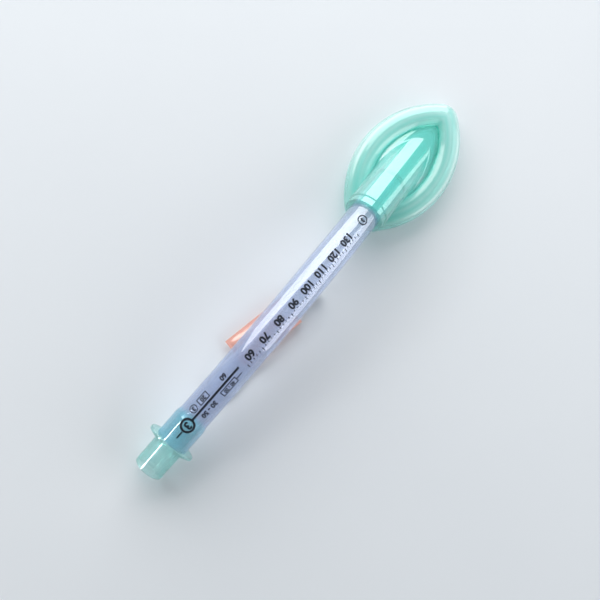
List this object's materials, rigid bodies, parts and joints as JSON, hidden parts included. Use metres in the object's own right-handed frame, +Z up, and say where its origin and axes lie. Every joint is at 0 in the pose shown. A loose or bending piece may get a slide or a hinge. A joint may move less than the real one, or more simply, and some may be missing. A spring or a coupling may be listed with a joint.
{
  "type": "laryngeal mask airway",
  "caption": "Curved soft airway tube with a conical connector at one end and an inflatable oval laryngeal mask at the other, with an inflation line, pilot balloon and spring valve.",
  "frame": {"origin": "on the resting plane, under the middle of the airway's length, measured without the inflation line and its pilot balloon", "axes": "+X along the airway from the connector to the tip of the mask, +Y to the side that is across it, +Z up from the plane that the cuff and the connector's rim rest on"},
  "size_m": [0.2394, 0.048, 0.0412],
  "materials": {
    "connector": "moulded, clear green, polished",
    "tube": "extruded, hazy lilac blue, smooth",
    "backplate": "moulded, clear mint green, smooth",
    "cuff": "soft film, milky mint green",
    "line": "extruded, milky clear",
    "balloon": "welded film, coral pink",
    "valve_body": "moulded, white",
    "valve_plunger": "moulded, blue",
    "valve_seal": "moulded, black",
    "valve_spring": "drawn wire"
  },
  "bodies": {
    "airway": {"connector": "connector", "airway_tube": "tube", "mask_backplate": "backplate", "cuff": "cuff", "inflation_line": "line", "pilot_balloon": "balloon", "valve_housing": "valve_body", "valve_spring": "valve_spring"},
    "plunger": {"valve_plunger": "valve_plunger", "valve_seal": "valve_seal"}
  },
  "joints": [
    {"name": "plunger_press", "type": "slide", "parent": "airway", "child": "plunger", "axis": [-0.9816, 0.1908, 0], "range_m": [0, 0.0013], "stiffness_N_per_m": 300, "springref_m": -0.002, "deforming": ["valve_spring"]}
  ]
}
